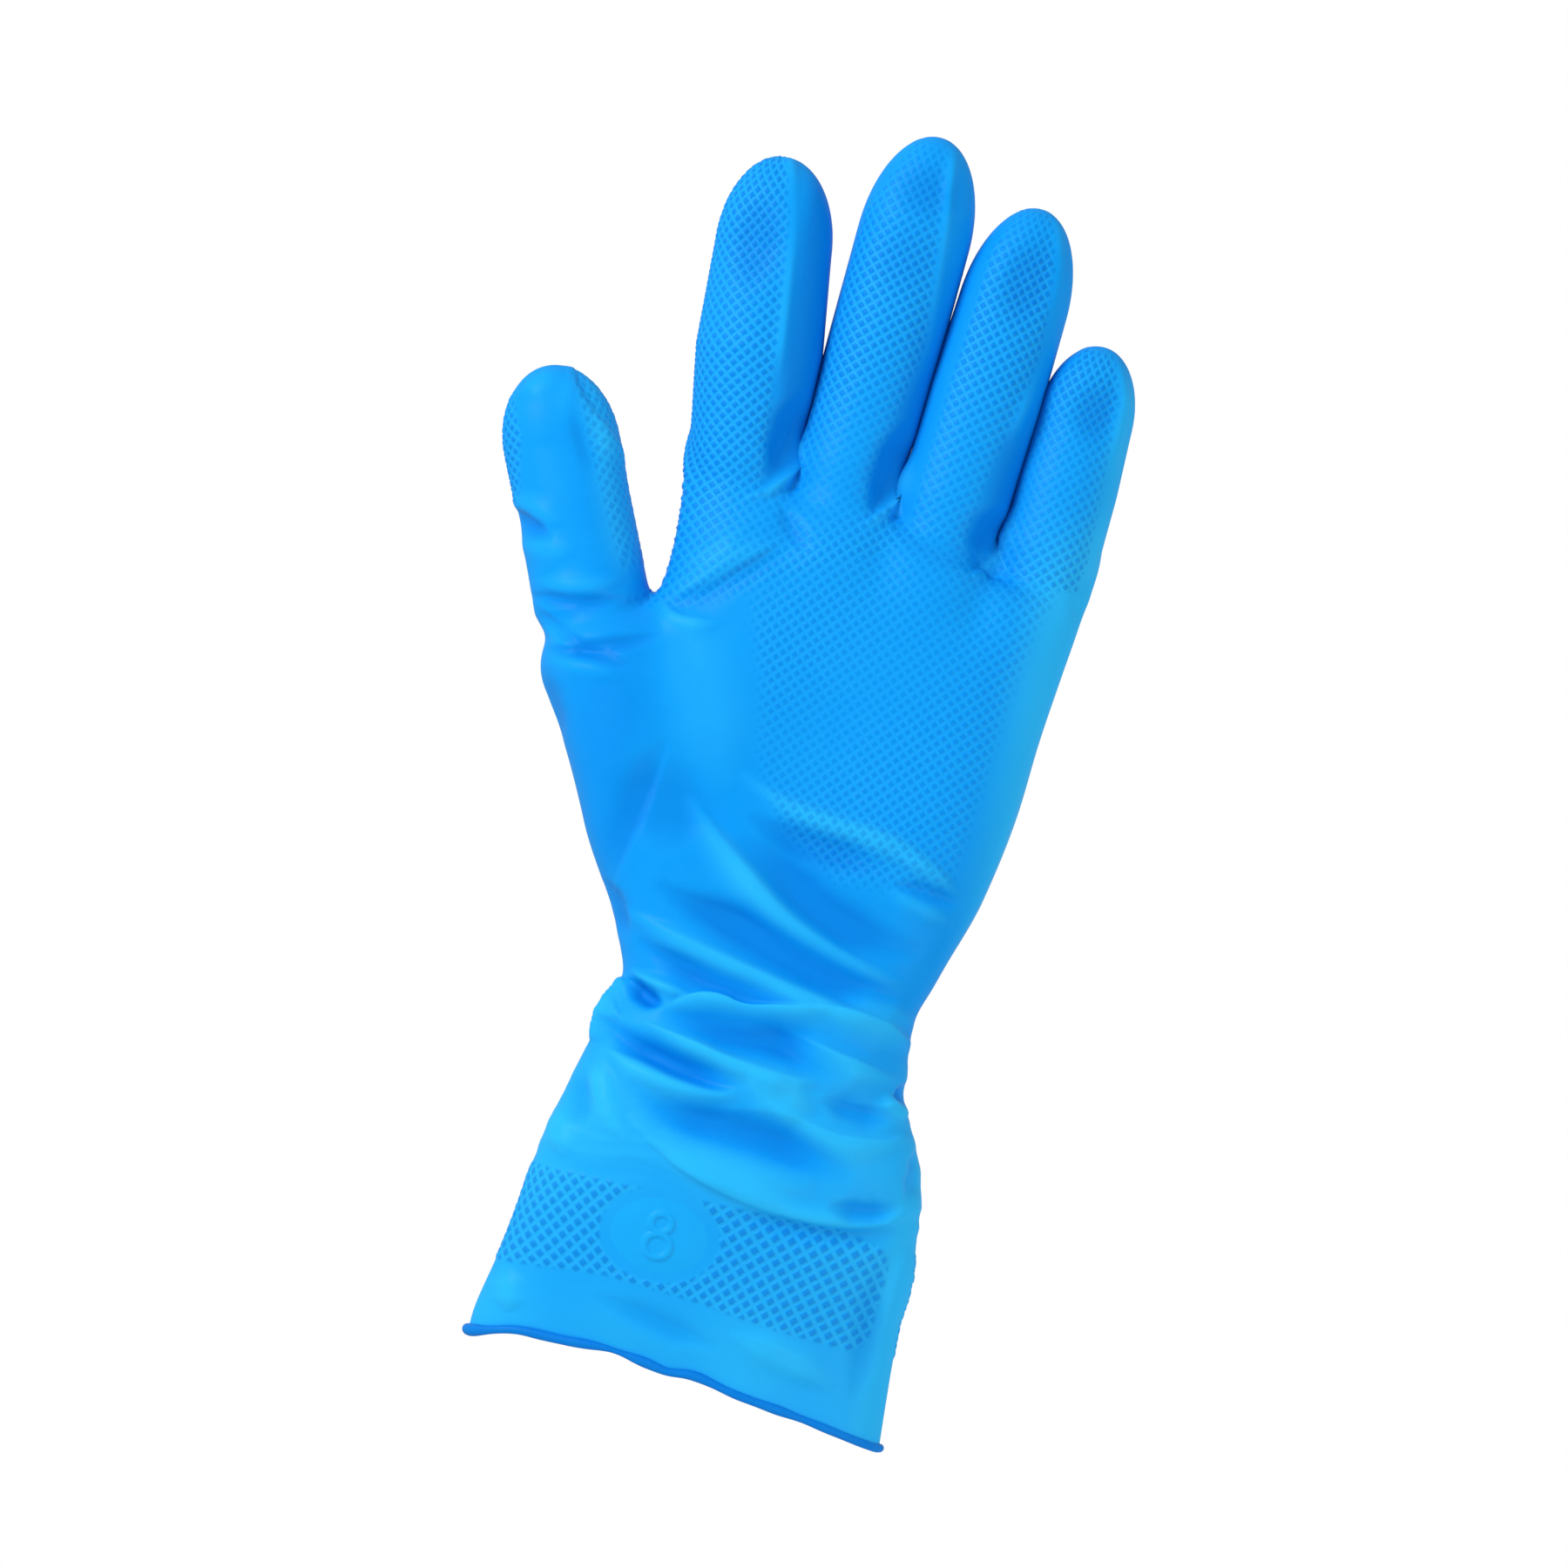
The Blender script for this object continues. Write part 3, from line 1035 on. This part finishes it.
def rubber(name, gripped, main):
    """Satin rubber film: mottled, paler on crests, darker in valleys and on the grip's squares."""
    material = bpy.data.materials.new(name)
    material.use_nodes = True
    tree = material.node_tree
    shader = tree.nodes["Principled BSDF"]
    place = node(tree, "ShaderNodeTexCoord").outputs["Object"]
    cloud = node(tree, "ShaderNodeTexNoise", Vector=place, Scale=45.0, Detail=4.0, Roughness=0.6).outputs[0]
    grain = node(tree, "ShaderNodeTexNoise", Vector=place, Scale=1400.0, Detail=2.0).outputs[0]
    chalk = node(
        tree, "ShaderNodeTexNoise", Vector=place, Scale=320.0, Detail=3.0, Roughness=0.7
    ).outputs[0]
    tint = mix(tree, maths(tree, "MULTIPLY", cloud, 0.16), main, PALE)
    tint = mix(tree, maths(tree, "MULTIPLY", chalk, 0.12), tint, PALE)
    height = maths(tree, "MULTIPLY", grain, 0.25)
    if gripped:
        square, strength = lattice_pattern(tree)
        relief = node(tree, "ShaderNodeAttribute", attribute_name="relief").outputs["Fac"]
        crest = maths(tree, "MULTIPLY", maths(tree, "MAXIMUM", relief, 0.0), 0.32)
        sunk = maths(tree, "MULTIPLY", relief, -1.0)
        valley = maths(tree, "MULTIPLY", maths(tree, "MAXIMUM", sunk, 0.0), 0.33)
        tint = mix(tree, maths(tree, "MINIMUM", crest, 0.85), tint, PALE)
        tint = mix(tree, maths(tree, "MINIMUM", valley, 0.5), tint, DEEP)
        net = maths(tree, "MULTIPLY_ADD", square, -0.26, 0.26)
        tint = mix(tree, maths(tree, "MULTIPLY", strength, net), tint, PALE)
        deep = maths(tree, "MULTIPLY", square, 0.5)
        tint = mix(tree, maths(tree, "MULTIPLY", strength, deep), tint, DEEP)
        height = maths(tree, "ADD", height, maths(tree, "MULTIPLY", square, strength))
    bump = node(tree, "ShaderNodeBump", Height=height, Distance=0.00012, Strength=0.6).outputs[0]
    tree.links.new(tint, shader.inputs["Base Color"])
    tree.links.new(bump, shader.inputs["Normal"])
    shader.inputs["Roughness"].default_value = 0.42
    shader.inputs["Specular IOR Level"].default_value = 0.05
    return material


def lattice_pattern(tree):
    """The lattice from its coordinates: 1 on a square and 0 on the net, and how strong it is."""
    lattice = node(tree, "ShaderNodeAttribute", attribute_name="lattice").outputs["Vector"]
    parts = node(tree, "ShaderNodeSeparateXYZ", Vector=lattice).outputs
    offs = []
    for part in parts[:2]:
        whole = maths(tree, "FRACT", part)
        offs.append(maths(tree, "ABSOLUTE", maths(tree, "SUBTRACT", whole, 0.5)))
    off = maths(tree, "MAXIMUM", *offs)
    square = node(tree, "ShaderNodeMapRange", Value=off, i1=0.36, i2=0.22, i3=0.0, i4=1.0).outputs[0]
    return square, parts[2]


VIEW_TURN = math.radians(11.5)  # the camera's turn about the line of sight
VIEW_CENTRE = (8.7, -3.3)
VIEW_WIDTH = 342.0
VIEW_DISTANCE = 1600.0


def make_camera():
    """Camera straight above the palm."""
    data = bpy.data.cameras.new("camera")
    camera = bpy.data.objects.new("camera", data)
    bpy.context.scene.collection.objects.link(camera)
    camera.location = Vector((*VIEW_CENTRE, VIEW_DISTANCE)) * MM
    camera.rotation_euler = (0, 0, VIEW_TURN)
    data.sensor_width = 36.0
    data.lens = 36.0 * (VIEW_DISTANCE - 20) / VIEW_WIDTH
    bpy.context.scene.camera = camera


def make_light(name, place, target, size, power):
    """Square area light, in metres and watts."""
    data = bpy.data.lights.new(name, "AREA")
    data.size = size
    data.energy = power
    light = bpy.data.objects.new(name, data)
    bpy.context.scene.collection.objects.link(light)
    light.location = place
    light.rotation_euler = (Vector(target) - Vector(place)).to_track_quat("-Z", "Y").to_euler()


def make_studio():
    """Soft light from above at the left in a pale surround, white straight below. It has no floor."""
    world = bpy.data.worlds.new("world")
    bpy.context.scene.world = world
    world.use_nodes = True
    tree = world.node_tree
    way = node(tree, "ShaderNodeTexCoord").outputs["Generated"]
    height = node(tree, "ShaderNodeSeparateXYZ", Vector=way).outputs["Z"]
    below = node(tree, "ShaderNodeMapRange", Value=height, i1=-0.95, i2=-0.98, i3=0.0, i4=1.0).outputs[0]
    low = node(tree, "ShaderNodeMapRange", Value=height, i1=-0.8, i2=0.0, i3=0.4, i4=0.95).outputs[0]
    high = node(tree, "ShaderNodeMapRange", Value=height, i1=0.0, i2=0.85, i3=0.95, i4=0.40).outputs[0]
    strength = maths(tree, "MAXIMUM", maths(tree, "MINIMUM", low, high), below)
    background = tree.nodes["Background"]
    background.inputs["Color"].default_value = (1, 1, 1, 1)
    tree.links.new(strength, background.inputs["Strength"])
    make_light("key", (-0.8, 0.45, 0.75), (0, 0, 0), 0.5, 11)
    make_light("fill", (0.8, -0.5, 0.9), (0, 0, 0), 0.9, 6)
    bpy.context.scene.view_settings.view_transform = "Standard"


def make_glove():
    """Every piece of the glove, with its material, its body and the CAD nodes it stands for."""
    plain, base_quads = base_surface()
    points, quads, edge_ids = subdivide(plain, base_quads)
    points, normals, lattice, relief = shape_glove(points, quads)
    count = len(plain)
    inner_points = points[:count] - WALL * normals[:count] - 0.1 * normals[:count]
    inner_points[:, 2] = np.maximum(inner_points[:, 2], 0.1 + WALL * (plain[:, 2] < 3))
    label = name_quads(plain, base_quads)
    film = rubber("smooth_latex", True, MAIN)
    for name, (first, second, nodes) in PIECES.items():
        piece = film_piece(
            name, label == name, (base_quads, inner_points, -normals[:count]),
            (points, normals, quads, edge_ids, lattice, relief),
        )
        piece.data.materials.append(film)
        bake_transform(piece)
        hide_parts(*nodes)
    ring = mouth_loop(len(points), quads)
    add_to_cuff(make_bead(points, normals, ring), "bead_latex", DARK, "cuff_bead")
    add_to_cuff(make_badge(points, quads), "badge_latex", BADGE_TONE, "size_badge")


def add_to_cuff(piece, slot, main, replaced):
    """A small piece that rides on the cuff."""
    piece.data.materials.append(rubber(slot, False, main))
    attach(piece, "cuff")
    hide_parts(replaced)


make_camera()
make_studio()
make_glove()
